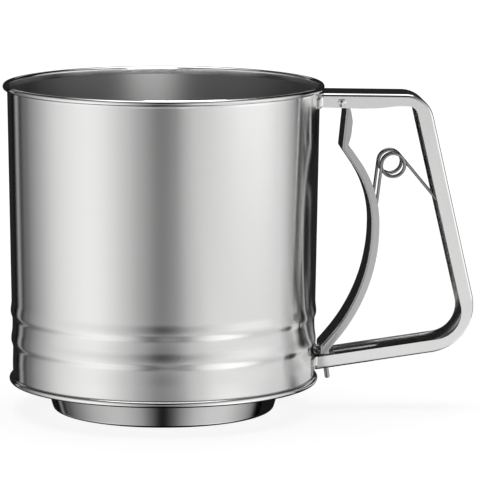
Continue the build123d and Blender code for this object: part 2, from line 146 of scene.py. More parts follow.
def round_edges(piece, width):
    """Adds a small rounding along the sharp edges, as a modifier."""
    modifier = piece.modifiers.new("edge", "BEVEL")
    modifier.width = width * MM
    modifier.segments = 2
    modifier.limit_method = "ANGLE"
    modifier.angle_limit = radians(40)


def arc(centre, radius, start, end, steps):
    """Points along an arc in a plane, angles in degrees."""
    angles = [radians(start + (end - start) * i / steps) for i in range(steps + 1)]
    return [(centre[0] + radius * cos(a), centre[1] + radius * sin(a)) for a in angles]


def rounded(points, radii, step=6.0, closed=False):
    """A polyline with rounded corners. radii has one value for each corner, step is in degrees."""
    count = len(points)
    result = []
    for i, point in enumerate(points):
        here = Vector(point)
        corner = closed or 0 < i < count - 1
        radius = radii[i if closed else i - 1] if corner else 0
        if radius <= 0:
            result.append(tuple(here))
            continue
        before = (here - Vector(points[i - 1])).normalized()
        after = (Vector(points[(i + 1) % count]) - here).normalized()
        turn = acos(max(-1.0, min(1.0, before.dot(after))))
        if turn < 1e-4:
            result.append(tuple(here))
            continue
        reach = radius * tan(turn / 2)
        bisector = (after - before).normalized()
        centre = here + bisector * (radius / cos(turn / 2))
        steps = max(2, ceil(degrees(turn) / step))
        first = here - before * reach - centre
        for j in range(steps + 1):
            a = turn * j / steps
            result.append(tuple(centre + first * cos(a) + before * radius * sin(a)))
    return result


def lathe_grid(profile, segments, closed=True):
    """Vertices and quads of a profile, in radius and height, turned about Z."""
    vertices = []
    for k in range(segments):
        c, s = cos(2 * pi * k / segments), sin(2 * pi * k / segments)
        vertices += [(r * c, r * s, z) for r, z in profile]
    n = len(profile)
    rows = n if closed else n - 1
    faces = []
    for k in range(segments):
        a, b = k * n, (k + 1) % segments * n
        faces += [(a + i, b + i, b + (i + 1) % n, a + (i + 1) % n) for i in range(rows)]
    return vertices, faces


def lathe(name, profile, segments, material, body, nodes=(), place=None, sharp=35):
    """A turned piece. place is a matrix that moves it from the Z axis to where it belongs."""
    vertices, faces = lathe_grid(profile, segments)
    if place:
        vertices = [tuple(place @ Vector(v)) for v in vertices]
    return new_piece(name, vertices, faces, material, body, nodes, sharp=sharp)


def turned_solid(profile, segments, place=None):
    """A solid whose open profile starts and ends on the axis: poles are closed by fans."""
    ring = profile[1:-1]
    vertices, faces = lathe_grid(ring, segments, closed=False)
    n = len(ring)
    low, high = len(vertices), len(vertices) + 1
    vertices += [(0, 0, profile[0][1]), (0, 0, profile[-1][1])]
    for k in range(segments):
        a, b = k * n, (k + 1) % segments * n
        faces.append((low, b, a))
        faces.append((high, a + n - 1, b + n - 1))
    if place:
        vertices = [tuple(place @ Vector(v)) for v in vertices]
    return vertices, faces


def along_wire(points):
    """The direction of a wire and a steady sideways direction at each of its points."""
    count = len(points)
    frames = []
    for i in range(count):
        tangent = (points[min(i + 1, count - 1)] - points[max(i - 1, 0)]).normalized()
        if frames:
            last_tangent, last_normal = frames[-1]
            normal = last_tangent.rotation_difference(tangent) @ last_normal
        else:
            normal = tangent.orthogonal().normalized()
        frames.append((tangent, (normal - tangent * normal.dot(tangent)).normalized()))
    return frames


def tube(path, radius, sides, round_ends=True):
    """Vertices and faces of a round wire along 3-D points."""
    points = [Vector(p) for p in path]
    rings = [(p, t, n, radius) for p, (t, n) in zip(points, along_wire(points))]
    if round_ends:
        caps = [(sin(radians(a)), cos(radians(a))) for a in (75, 50, 25)]
        p, t, n, _ = rings[0]
        head = [(p - t * radius * h * 0.5, t, n, radius * w) for h, w in caps]
        p, t, n, _ = rings[-1]
        tail = [(p + t * radius * h * 0.5, t, n, radius * w) for h, w in reversed(caps)]
        rings = head + rings + tail
    vertices = []
    for p, t, n, r in rings:
        b = t.cross(n)
        for k in range(sides):
            a = 2 * pi * k / sides
            vertices.append(tuple(p + (n * cos(a) + b * sin(a)) * r))
    faces = []
    for i in range(len(rings) - 1):
        a, b = i * sides, (i + 1) * sides
        faces += [(a + k, a + (k + 1) % sides, b + (k + 1) % sides, b + k) for k in range(sides)]
    faces.append(tuple(range(sides - 1, -1, -1)))
    faces.append(tuple(range(len(vertices) - sides, len(vertices))))
    return vertices, faces


def joined(*parts):
    """Several vertex and face lists as one."""
    vertices, faces = [], []
    for more_vertices, more_faces in parts:
        base = len(vertices)
        vertices += more_vertices
        faces += [tuple(i + base for i in face) for face in more_faces]
    return vertices, faces


# ---------------------------------------------------------------- materials


def steel(name, colour, rough, aniso=0.0, grain=(60, 60, 2500), bump=0.02, vary=0.06,
          smudge=0.05, streak=0.05, edge=1.0):
    """Steel with fine brush marks, whose fineness along X, Y and Z is grain.

    vary and streak are how much the marks change the colour and the roughness, and bump is their height in
    millimetres. smudge is how much soft clouds change the roughness. edge is the brightness of reflections at
    grazing angles. aniso spreads reflections up and down, as brushing round the cup does.
    """
    material = bpy.data.materials.new(name)
    material.use_nodes = True
    nodes, links = material.node_tree.nodes, material.node_tree.links
    shader = nodes["Principled BSDF"]
    shader.inputs["Metallic"].default_value = 1.0
    shader.inputs["Anisotropic"].default_value = aniso
    if aniso:
        shader.inputs["Anisotropic Rotation"].default_value = 0.25
        tangent = nodes.new("ShaderNodeTangent")
        tangent.direction_type = "RADIAL"
        tangent.axis = "Z"
        links.new(tangent.outputs["Tangent"], shader.inputs["Tangent"])
    place = nodes.new("ShaderNodeTexCoord")
    stretch = nodes.new("ShaderNodeMapping")
    stretch.inputs["Scale"].default_value = grain
    links.new(place.outputs["Object"], stretch.inputs["Vector"])
    streaks = nodes.new("ShaderNodeTexNoise")
    streaks.inputs["Scale"].default_value = 1.0
    streaks.inputs["Detail"].default_value = 4.0
    streaks.inputs["Roughness"].default_value = 0.65
    links.new(stretch.outputs["Vector"], streaks.inputs["Vector"])
    clouds = nodes.new("ShaderNodeTexNoise")
    clouds.inputs["Scale"].default_value = 28.0
    clouds.inputs["Detail"].default_value = 3.0
    links.new(place.outputs["Object"], clouds.inputs["Vector"])
    tint = nodes.new("ShaderNodeMix")
    tint.data_type = "RGBA"
    tint.inputs["A"].default_value = tuple(c * (1 - vary) for c in colour) + (1.0,)
    tint.inputs["B"].default_value = tuple(min(1.0, c * (1 + vary)) for c in colour) + (1.0,)
    links.new(streaks.outputs["Fac"], tint.inputs["Factor"])
    links.new(tint.outputs["Result"], shader.inputs["Base Color"])
    both = nodes.new("ShaderNodeMath")
    both.operation = "MULTIPLY_ADD"
    both.inputs[1].default_value = smudge
    links.new(clouds.outputs["Fac"], both.inputs[0])
    fine = nodes.new("ShaderNodeMath")
    fine.operation = "MULTIPLY_ADD"
    fine.inputs[1].default_value = streak
    fine.inputs[2].default_value = rough - (smudge + streak) / 2
    links.new(streaks.outputs["Fac"], fine.inputs[0])
    links.new(fine.outputs["Value"], both.inputs[2])
    links.new(both.outputs["Value"], shader.inputs["Roughness"])
    shader.inputs["Specular Tint"].default_value = (edge, edge, edge, 1.0)
    relief = nodes.new("ShaderNodeBump")
    relief.inputs["Strength"].default_value = 1.0
    relief.inputs["Distance"].default_value = bump * MM
    links.new(streaks.outputs["Fac"], relief.inputs["Height"])
    links.new(relief.outputs["Normal"], shader.inputs["Normal"])
    return material


cup_steel = steel("cup_steel", (0.79, 0.79, 0.785), 0.19, aniso=1.0, grain=(25, 25, 4200), bump=0.00003,
                  vary=0.035, smudge=0.02, streak=0.012)
pan_steel = steel("pan_steel", (0.80, 0.80, 0.795), 0.12, aniso=0.6, grain=(40, 40, 5200), bump=0.001,
                  vary=0.03)
# The inside's colour is far darker than the same sheet outside: painted shade for the dim inside of the cup,
# with a rougher finish
shaded_bowl_steel = steel("shaded_bowl_steel", (0.27, 0.27, 0.268), 0.42, aniso=0.9, grain=(40, 40, 5200), bump=0.0001,
                   vary=0.03)
polished = steel("polished_steel", (0.83, 0.83, 0.825), 0.075, grain=(180, 900, 180), bump=0.0008,
                 smudge=0.04)
trigger_steel = steel("trigger_steel", (0.56, 0.56, 0.555), 0.16, grain=(900, 2600, 60), bump=0.002)
inner_steel = steel("inner_steel", (0.50, 0.50, 0.495), 0.3, grain=(300, 1500, 300), bump=0.0015, vary=0.1)
mesh_steel = steel("mesh_steel", (0.52, 0.52, 0.515), 0.25, grain=(900, 900, 900), bump=0.001)
wire_steel = steel("wire_steel", (0.36, 0.36, 0.357), 0.04, grain=(900, 900, 900), bump=0.0005,
                   smudge=0.02, streak=0.02, edge=0.1)

# ---------------------------------------------------------------- cup


def ridge_offset(z):
    """How far the pressed ridges move the wall out at this height."""
    total = 0.0
    for crest in RIDGES:
        for (za, ra), (zb, rb) in zip(RIDGE_SHAPE, RIDGE_SHAPE[1:]):
            if crest + za <= z < crest + zb:
                t = (z - crest - za) / (zb - za)
                total += ra + (rb - ra) * t * t * (3 - 2 * t)
    return total


def wall_heights():
    """Heights of the wall's rows, close together where the ridges are."""
    heights = [WALL_START_Z, 15.0, 18.0]
    heights += [19.0 + 0.4 * i for i in range(69)]
    heights += [50.0 + 5.0 * i for i in range(17)]
    return heights


CURL_END = -95
CURL_OUTER_STEPS = 26
CURL_INNER_STEPS = 20


def wall_profile():
    """The wall's sheet: up the outside, round the curl and back, down the inside and round the hem."""
    outside = [(wall_radius(z) + ridge_offset(z), z) for z in wall_heights()]
    centre = (WALL_TOP - SHEET + RIM_CURL, RIM_Z)
    # The outside runs on into the curl's inner arc, and the curl's outer arc into the inside
    curl = arc(centre, RIM_CURL - SHEET, 180, CURL_END, CURL_INNER_STEPS)
    curl += arc(centre, RIM_CURL, CURL_END, 180, CURL_OUTER_STEPS)
    inside = [(r - SHEET, z) for r, z in reversed(outside)]
    hem_top = 12.44
    hem_radius = SEAM_RADIUS + 0.5
    hem_start = FLOOR_TOP + 0.02
    hem = [(wall_radius(FLOOR_TOP) - SHEET, hem_start), (WALL_BASE, hem_start), (WALL_BASE, hem_top),
           (hem_radius, hem_top), (hem_radius, WALL_START_Z)]
    return outside + curl + inside + hem


# The patch of wall round the eyelet's hole: columns to each side, and height up and down
HOLE_COLUMNS = 3
HOLE_PATCH = 3.3
HOLE_RADIUS = EYELET_RADIUS + 0.02


def cup_wall():
    """The cup's wall, with a round hole where the eyelet sits."""
    profile = wall_profile()
    count = len(profile)
    outer_rows = len(wall_heights())
    inner_start = outer_rows + CURL_INNER_STEPS + CURL_OUTER_STEPS + 2
    vertices, faces = lathe_grid(profile, WALL_SEGMENTS)
    grid_size = WALL_SEGMENTS * count
    low, high = LINK_Z - HOLE_PATCH, LINK_Z + HOLE_PATCH
    columns = [k % WALL_SEGMENTS for k in range(-HOLE_COLUMNS, HOLE_COLUMNS + 1)]
    rings = []
    gone = set()
    for first, sheet in ((0, 0.0), (inner_start, SHEET)):
        rows = [i for i in range(first, first + outer_rows) if low <= profile[i][1] <= high]
        a, b = rows[0], rows[-1]
        gone.update(k * count + i for k in columns[:-1] for i in range(a, b))
        edge = [(columns[0], i) for i in range(a, b)]
        edge += [(c, b) for c in columns[:-1]]
        edge += [(columns[-1], i) for i in range(b, a, -1)]
        edge += [(c, a) for c in reversed(columns[1:])]
        ring = []
        for k, i in edge:
            x, y, z = vertices[k * count + i]
            turn = atan2(z - LINK_Z, y)
            hole_y, hole_z = HOLE_RADIUS * cos(turn), LINK_Z + HOLE_RADIUS * sin(turn)
            radius = wall_radius(hole_z) + ridge_offset(hole_z) - sheet
            ring.append(len(vertices))
            vertices.append((sqrt(radius * radius - hole_y * hole_y), hole_y, hole_z))
        for j, (k, i) in enumerate(edge):
            n = (j + 1) % len(edge)
            faces.append((k * count + i, edge[n][0] * count + edge[n][1], ring[n], ring[j]))
        rings.append(ring)
    faces = [face for index, face in enumerate(faces) if index not in gone]

    def angle_of(i):
        return atan2(vertices[i][2] - LINK_Z, vertices[i][1])

    outer, inner = (sorted(ring, key=angle_of) for ring in rings)
    for j in range(len(outer)):
        n = (j + 1) % len(outer)
        faces.append((outer[j], outer[n], inner[n], inner[j]))
    piece = new_piece("cup_wall_drawn", vertices, faces, cup_steel, "cup", ["cup_wall"],
                      sharp=50)
    # The curl is polished like the pan, and the inside is rougher, with its colour darkened as painted shade
    curl_slot, inside_slot = 1, 2
    piece.data.materials.append(pan_steel)
    piece.data.materials.append(shaded_bowl_steel)
    for face in piece.data.polygons:
        rows = [i % count for i in face.vertices if i < grid_size]
        if len(rows) == 4 and outer_rows - 1 <= min(rows) and max(rows) <= inner_start:
            face.material_index = curl_slot
        elif min(rows, default=0) >= inner_start:
            face.material_index = inside_slot


def pan_profile():
    """The base pan's sheet: rolled seam, floor, collar and hemmed foot."""
    floor_radius, foot_radius, foot_z = 48.2, 45.3, 1.8
    mouth_radius, hem_z = 41.6, 1.2
    slope = (floor_radius - foot_radius) / (FLOOR_BOTTOM - foot_z)

    def collar(z):
        return foot_radius + (z - foot_z) * slope

    outside = rounded(
        [(SEAM_RADIUS, FLOOR_BOTTOM), (floor_radius, FLOOR_BOTTOM), (collar(0), 0.0), (41.8, 0.0)],
        (0.8, 1.8),
    )
    inside = [(collar(FLOOR_TOP) - SHEET + 0.3, FLOOR_TOP), (collar(FLOOR_TOP) - SHEET, FLOOR_TOP - 0.3)]
    inside += [(collar(2 * hem_z) - SHEET, 2 * hem_z), (collar(hem_z) - 2 * SHEET, hem_z), (42.0, hem_z)]
    inside += [(mouth_radius, 0.9), (mouth_radius, 0.3)]
    profile = arc((SEAM_RADIUS, SEAM_Z), SEAM_CURL - SHEET, 90, -90, 14) + inside
    profile += list(reversed(outside[:-1] + [(41.9, 0.0)]))
    profile += arc((SEAM_RADIUS, SEAM_Z), SEAM_CURL, -90, 90, 20)[1:]
    return profile


cup_wall()
lathe("base_pan_drawn", pan_profile(), WALL_SEGMENTS, pan_steel, "cup", ["base_pan"],
      sharp=40)

# ---------------------------------------------------------------- screen


SCREEN_PITCH = 1.5
SCREEN_WIRE = 0.2
SCREEN_LIFT = 0.17
SCREEN_RADIUS = 59.9
SCREEN_Z = 12.26
# Beyond this radius the cloth is pinched under its ring and lies flatter
PINCHED_RADIUS = 48.0
PINCHED_LIFT = 0.35


def woven_screen():
    """Two sets of crossing wires that pass over and under each other, cut out round the axle."""
    half_pitch = SCREEN_PITCH / 2
    shortest = 3
    count = int(SCREEN_RADIUS / SCREEN_PITCH)
    parts = []
    for direction in (0, 1):
        for i in range(-count, count + 1):
            across = i * SCREEN_PITCH + half_pitch
            half = sqrt(max(0.0, SCREEN_RADIUS * SCREEN_RADIUS - across * across))
            if half < shortest:
                continue
            spans = int(half / half_pitch)
            runs = [(-spans, spans)]
            if abs(across) < AXLE_RADIUS + 0.3:
                gap = ceil((AXLE_RADIUS + 0.4) / half_pitch)
                runs = [(-spans, -gap), (gap, spans)]
            for start, end in runs:
                path = []
                for j in range(start, end + 1):
                    along = j * half_pitch
                    wave = sin(pi * (along / SCREEN_PITCH)) * (1 if (i + direction) % 2 else -1)
                    pinched = along * along + across * across >= PINCHED_RADIUS ** 2
                    z = SCREEN_Z + SCREEN_LIFT * wave * (PINCHED_LIFT if pinched else 1.0)
                    path.append((along, across, z) if direction == 0 else (across, along, z))
                parts.append(tube(path, SCREEN_WIRE, sides=5, round_ends=False))
    vertices, faces = joined(*parts)
    new_piece("screen_woven", vertices, faces, mesh_steel, "cup", ["screen_mesh"],
              closed=False, sharp=80)


woven_screen()
ring_profile = rounded(
    [(49.0, 12.46), (60.55, 12.46), (60.55, 16.42), (60.05, 16.42), (60.05, 13.04), (49.0, 13.04)],
    (0.2, 0.5, 0.2, 0.2, 0.6, 0.25),
    step=20,
    closed=True,
)
lathe("screen_ring_drawn", ring_profile, 240, inner_steel, "cup", ["screen_ring"])

# ---------------------------------------------------------------- sheet-metal channels


def grid_faces(first, rows, columns):
    """Quads between rows of vertices that start at index first."""
    corners = [first + i * columns + j for i in range(rows - 1) for j in range(columns - 1)]
    return [(a, a + 1, a + columns + 1, a + columns) for a in corners]


def side_path(points, radii, step):
    """Rounded outline in x and z with the unit direction of travel at each point."""
    path = rounded(points, radii, step=step)
    result = []
    for i, p in enumerate(path):
        a = Vector(path[max(0, i - 1)])
        b = Vector(path[min(len(path) - 1, i + 1)])
        here = Vector(p)
        before = (here - a).normalized() if i else (b - here).normalized()
        after = (b - here).normalized() if i < len(path) - 1 else before
        result.append((here, (before + after).normalized()))
    return result


def web_columns(width, corner, steps=6):
    """Sideways place and depth of each column of a channel's web, from flange to flange."""
    half = width / 2
    columns = []
    for j in range(steps + 1):
        a = radians(90 * j / steps)
        columns.append((-half + corner * (1 - cos(a)), corner * (1 - sin(a))))
    middle = [-half * 0.66, -half * 0.33, 0.0, half * 0.33, half * 0.66]
    columns += [(y, 0.0) for y in middle]
    columns += [(-y, v) for y, v in reversed(columns[: steps + 1])]
    return columns


def sheet_piece(name, vertices, faces, material, thickness, edge, cuts):
    """Thickens an open sheet inwards, cuts its holes and rounds its edges."""
    piece = new_piece(name, vertices, faces, material, None, closed=False)
    solid = piece.modifiers.new("sheet", "SOLIDIFY")
    solid.thickness = thickness * MM
    solid.offset = -1.0
    solid.use_even_offset = True
    for index, cutter in enumerate(cuts):
        hole = piece.modifiers.new(f"cut_{index}", "BOOLEAN")
        hole.operation = "DIFFERENCE"
        hole.solver = "EXACT"
        hole.object = cutter
    bake_modifiers(piece)
    round_edges(piece, edge)
    bake_modifiers(piece)
    weight_normals(piece)
    for cutter in cuts:
        bpy.data.objects.remove(cutter, do_unlink=True)
    return piece


def prism(name, outline, low, high, axis):
    """A closed prism that cuts a hole along an axis, with its outline across that axis."""
    n = len(outline)
    vertices = []
    for level in (low, high):
        for a, b in outline:
            vertices.append((a, b, level) if axis == "Z" else (level, a, b))
    faces = [tuple(range(n - 1, -1, -1)), tuple(range(n, 2 * n))]
    faces += [(i, (i + 1) % n, n + (i + 1) % n, n + i) for i in range(n)]
    return new_piece(name, vertices, faces, polished, None)


def slot_outline(centre, length, width, steps=10):
    """A slot with round ends along its first direction."""
    reach = (length - width) / 2
    right = arc((centre[0] + reach, centre[1]), width / 2, -90, 90, steps)
    left = arc((centre[0] - reach, centre[1]), width / 2, 90, 270, steps)
    return right + left


# The handle seen from the side, in x and z. Its ends lie inside the cup, where they are cut off
HANDLE_OUTLINE = ((50.0, 130.0), (106.6, 129.04), (129.96, 26.24), (50.0, 15.03))
HANDLE_CORNERS = (11.8, 19.6)
HANDLE_EDGE = 1.3
FLANGE_OUTLINE = ((50.0, 124.0), (64.0, 124.0), (79.0, 123.45), (86.5, 123.55), (94.0, 124.35),
                  (101.4, 124.2), (123.3, 30.5), (50.0, 20.4))
FLANGE_CORNERS = (20.0, 20.0, 8.0, 10.0, 4.0, 11.3)
FLANGE_START = 65.2
# Each pair of tabs: the height where the flange's end is measured, the height of the tab's free edge,
# and how far the tab's other edge lies from the web's corner
TOP_TAB = (127.0, 124.0, -0.35)
LOW_TAB = (19.0, 22.0, 0.35)
TAB_LEVELS = 6
TAB_BEND_STEPS = 6
TAB_WALL_STEPS = 4


def tab_start(z):
    """Where the flange's straight part ends and its tab bends outwards."""
    reach = wall_radius(z) + HANDLE_SHEET + TAB_BEND
    return sqrt(reach * reach - (HANDLE_WIDTH / 2 + TAB_BEND) ** 2)


def tab_line(z):
    """A tab's level line, from the flange's end round the bend and along the wall."""
    half = HANDLE_WIDTH / 2
    start = tab_start(z)
    lean = atan2(half + TAB_BEND, start)
    line = []
    for k in range(TAB_BEND_STEPS + 1):
        a = (pi / 2 - lean) * k / TAB_BEND_STEPS
        line.append((start - TAB_BEND * sin(a), half + TAB_BEND * (1 - cos(a))))
    radius = wall_radius(z) + HANDLE_SHEET
    last = asin(TAB_REACH / radius)
    for k in range(1, TAB_WALL_STEPS + 1):
        a = lean + (last - lean) * k / TAB_WALL_STEPS
        line.append((radius * cos(a), radius * sin(a)))
    return line


def handle_web(columns):
    """The web's vertices, row by row from the wall along the top, down the grip and back to the wall."""
    top_line, low_line = HANDLE_OUTLINE[:2], HANDLE_OUTLINE[2:]
    top_way, low_way = ((Vector(b) - Vector(a)).normalized() for a, b in (top_line, low_line))

    def on_line(x, a, b):
        t = (x - a[0]) / (b[0] - a[0])
        return Vector((x, a[1] + (b[1] - a[1]) * t))

    def wall_row(line, way, z_start):
        """A row that follows the wall's curve. Three rounds find the height where each column meets it."""
        row = []
        for y, v in columns:
            z = z_start
            for _ in range(3):
                x = sqrt((wall_radius(z) + 0.02) ** 2 - y * y)
                z = on_line(x - way[1] * v, *line)[1] - way[0] * v
            row.append((x, y, z))
        return row

    rows = [(on_line(tab_start(TOP_TAB[0]), *top_line), top_way)]
    rows += side_path(HANDLE_OUTLINE, HANDLE_CORNERS, step=3.0)[1:-1]
    rows += [(on_line(tab_start(LOW_TAB[0]), *low_line), low_way)]
    vertices = wall_row(top_line, top_way, TOP_TAB[0])
    for point, way in rows:
        vertices += [(point[0] + way[1] * v, y, point[1] - way[0] * v) for y, v in columns]
    return vertices + wall_row(low_line, low_way, LOW_TAB[0])


def handle_sheet():
    """The handle's outer face: web, rounded corners, flanges and the tabs that hug the cup."""
    columns = web_columns(HANDLE_WIDTH, HANDLE_EDGE)
    count = len(columns)
    vertices = handle_web(columns)
    rows = len(vertices) // count
    faces = grid_faces(0, rows, count)
    flange = [p for p in rounded(FLANGE_OUTLINE, FLANGE_CORNERS, step=3.0) if p[0] > FLANGE_START]
    for side in (-1, 1):
        column = 0 if side < 0 else count - 1
        web_edge = [i * count + column for i in range(1, rows - 1)]
        ends = []
        for (_, z_open, gap), corner in ((TOP_TAB, web_edge[0]), (LOW_TAB, web_edge[-1])):
            z_web = vertices[corner][2] + gap
            levels = [z_web + (z_open - z_web) * k / TAB_LEVELS for k in range(TAB_LEVELS + 1)]
            lines = [tab_line(z) for z in levels]
            first, length = len(vertices), len(lines[0])
            for z, line in zip(levels, lines):
                vertices += [(x, side * y, z) for x, y in line]
            faces += grid_faces(first, len(levels), length)
            ends.append([first + k * length for k in range(len(levels))])
        top_end, low_end = ends
        first = len(vertices)
        vertices += [(x, side * HANDLE_WIDTH / 2, z) for x, z in flange]
        flange_edge = range(first, len(vertices))
        faces.append((*web_edge, *low_end, *reversed(flange_edge), *reversed(top_end)))
    return vertices, faces


def orient(vertices, faces, outward):
    """Turns each face so that its normal agrees with the direction outward gives for its middle."""
    result = []
    for face in faces:
        points = [Vector(vertices[i]) for i in face]
        middle = sum(points, Vector()) / len(points)
        normal = Vector()
        for a, b in zip(points, points[1:] + points[:1]):
            normal += (a - middle).cross(b - middle)
        result.append(face if normal.dot(outward(middle, normal)) > 0 else tuple(reversed(face)))
    return result


def outward_of_channel(half, inside_point):
    """Flanges face sideways, tabs away from the cup, and the web away from the channel's open middle."""

    def outward(middle, normal):
        if abs(normal.normalized()[1]) > 0.9:
            return Vector((0, 1 if middle[1] > 0 else -1, 0))
        if abs(middle[1]) > half + 0.001:
            return Vector((middle[0], 0, 0))
        return middle - Vector((inside_point[0], 0, inside_point[1]))

    return outward


def build_handle():
    """The handle, with the slot that the link's peg passes through."""
    vertices, faces = handle_sheet()
    faces = orient(vertices, faces, outward_of_channel(HANDLE_WIDTH / 2, (85.0, 75.0)))
    slot = prism("cut_peg", slot_outline((77.4, 0.0), 26.0, 2.8), 5.0, 23.0, "Z")
    piece = sheet_piece("handle_drawn", vertices, faces, polished, HANDLE_SHEET, 0.14, cuts=[slot])
    finish_piece(piece, "cup", ["handle"])


build_handle()

# The trigger seen from the side, in x and z. Its ends are longer than the trigger, and are cut off
TRIGGER_OUTLINE = ((75.1, 142.0), (71.6, 106.9), (83.7, 89.0), (83.7, 49.5), (63.4, 26.1), (63.4, 20.75),
                   (140.0, 15.39))
TRIGGER_CORNERS = (1.5, 42.0, 69.0, 2.0, 1.0)
TRIGGER_EDGE = 0.9
TRIGGER_DEPTH = 3.4
TRIGGER_TOP = 123.6
TRIGGER_FOOT = 23.0
EAR_RADIUS = 2.4
LIP_END = 70.4
LIP_HALF = 7.3
HAIR = 0.001


def trigger_sheet():
    """The trigger's outer face: web with rounded corners, flanges, notch, ears and foot."""
    columns = web_columns(TRIGGER_WIDTH, TRIGGER_EDGE) + [(-LIP_HALF, 0.0), (LIP_HALF, 0.0)]
    columns.sort(key=lambda c: (c[0], -c[1] if c[0] < 0 else c[1]))
    count = len(columns)

    def inset(point, direction, v):
        return point + Vector((-direction[1], direction[0])) * v

    def cut_at(a, b, axis, value):
        """The row between two others where a coordinate has this value."""
        t = (value - a[0][axis]) / (b[0][axis] - a[0][axis])
        return (a[0].lerp(b[0], t), a[1] if t < 0.5 else b[1])

    path = side_path(TRIGGER_OUTLINE, TRIGGER_CORNERS, step=3.0)
    rows = [cut_at(path[0], path[1], 1, TRIGGER_TOP)] + path[1:-1] + [cut_at(path[-2], path[-1], 0, LIP_END)]
    for at in (112.2, TRIGGER_FOOT):
        for i in range(len(rows) - 1):
            if rows[i][0][1] > at > rows[i + 1][0][1] and rows[i + 1][0][0] < 75:
                rows.insert(i + 1, cut_at(rows[i], rows[i + 1], 1, at))
                break
    vertices, faces = [], []
    for point, direction in rows:
        for y, v in columns:
            p = inset(point, direction, v)
            vertices.append((p[0], y, p[1]))
    foot_row = next(i for i, (p, _) in enumerate(rows) if p[1] <= TRIGGER_FOOT + HAIR)
    for i in range(len(rows) - 1):
        for j in range(count - 1):
            widest = max(abs(columns[j][0]), abs(columns[j + 1][0]))
            if i < foot_row or widest <= LIP_HALF + HAIR:
                a = i * count + j
                faces.append((a, a + 1, a + count + 1, a + count))

    # The flange's open edge, from the foot up: the inset outline, the notch and the ear
    flange = [(66.8, TRIGGER_FOOT), (66.8, 24.6)]
    for point, direction in reversed(rows[: foot_row + 1]):
        x, z = inset(point, direction, TRIGGER_DEPTH)
        if 27.0 < z < 105.4:
            flange.append((x, z))
    notch = rounded(
        [flange[-1], (75.75, 106.7), (74.0, 107.9), (75.3, 112.2), (75.95, 118.2), (75.2, 122.5),
         (74.3, 124.6)],
        (1.0, 0.9, 0.8, 2.5, 0.8),
        step=12,
    )
    flange += notch[1:-1] + arc(PIVOT, EAR_RADIUS, 20, 208, 16) + [(70.6, 123.62)]
    for side in (-1, 1):
        column = 0 if side < 0 else count - 1
        web_edge = [i * count + column for i in range(foot_row + 1)]
        first = len(vertices)
        vertices += [(x, side * TRIGGER_WIDTH / 2, z) for x, z in flange]
        faces.append((*web_edge, *range(first, len(vertices))))
    return vertices, faces


def build_trigger():
    """The trigger, with the slot for the link's wire and the hole for its peg."""
    vertices, faces = trigger_sheet()

    def outward(middle, normal):
        if abs(normal.normalized()[1]) > 0.95:
            return Vector((0, 1 if middle[1] > 0 else -1, 0))
        if middle[2] < 21.5:
            return Vector((0, 0, -1))
        return Vector((-1, 0, 0))

    faces = orient(vertices, faces, outward)
    wire_slot = [(b, a) for a, b in slot_outline((24.5, 0.0), 5.0, 3.0)]
    peg_hole = arc((66.0, 0.0), 1.6, 0, 345, 23)
    cuts = [prism("cut_wire", wire_slot, 61.0, 65.6, "X"), prism("cut_peg_hole", peg_hole, 15.0, 22.4, "Z")]
    piece = sheet_piece("trigger_drawn", vertices, faces, trigger_steel, TRIGGER_SHEET, 0.12, cuts=cuts)
    finish_piece(piece, "trigger", ["trigger"])


build_trigger()

# ---------------------------------------------------------------- pins, eyelet and wires

TO_Y = Matrix.Rotation(radians(90), 4, "X")
TO_X = Matrix.Rotation(radians(90), 4, "Y")


def pivot_pin():
    """Rivet through handle and trigger, with low flat heads that a groove runs round."""
    half = HANDLE_WIDTH / 2
    head = half + 0.34
    groove = half + 0.26
    profile = [(0, head), (1.0, head), (1.1, groove), (1.25, groove), (1.35, head), (1.62, half + 0.3),
               (1.8, half + 0.12), (1.8, half - 0.1), (1.25, half - 0.1)]
    profile = profile + [(r, -z) for r, z in reversed(profile)]
    place = Matrix.Translation((PIVOT[0], 0, PIVOT[1])) @ TO_Y
    vertices, faces = turned_solid(profile, 48, place)
    new_piece("pivot_pin_drawn", vertices, faces, polished, "cup", ["pivot_pin"], sharp=45)


def link_eyelet():
    """The eyelet in the wall, flanged on both sides, that the link slides through."""
    lip, collar, bore = 2.9, 3.2, 1.1
    inside = WALL_BASE - SHEET - 0.35
    outside = wall_radius(LINK_Z) + 0.1
    profile = rounded(
        [(bore, inside - 0.6), (lip, inside - 0.6), (lip, inside), (EYELET_RADIUS, inside),
         (EYELET_RADIUS, outside), (collar, outside), (collar, outside + 0.6), (bore, outside + 0.6)],
        (0.25, 0.25, 0.05, 0.1, 0.05, 0.05, 0.28, 0.3),
        step=20,
        closed=True,
    )
    lathe("link_eyelet_drawn", profile, 64, polished, "cup", ["link_eyelet"],
          place=Matrix.Translation((0, 0, LINK_Z)) @ TO_X)


def link_wire():
    """Peg, straight run through the wall, offset run and the eye round the crank pin."""
    eye_radius, eye_y, straight = 2.95, 19.43, 1.97
    eye_x = PIN_X + eye_radius
    route = [(67.1, 0, 11.9), (65.3, 0, LINK_Z), (33.0, 0, LINK_Z), (10.0, eye_y, LINK_Z),
             (eye_x, eye_y, LINK_Z), (eye_x, eye_y + straight, LINK_Z)]
    path = rounded(route, (2.2, 9.0, 9.0, 1.9), step=6)
    far_end = [pi * k / 16 for k in range(1, 17)]
    near_end = [pi + pi * k / 16 for k in range(17)]
    for centre, angles in ((eye_y + straight, far_end), (eye_y - straight, near_end)):
        path += [(PIN_X + eye_radius * cos(a), centre + eye_radius * sin(a), LINK_Z) for a in angles]
    path.append((eye_x, eye_y - 0.9, LINK_Z))
    vertices, faces = tube(path, LINK_RADIUS, sides=28)
    new_piece("link_wire_drawn", vertices, faces, wire_steel, "link", ["link_wire"])


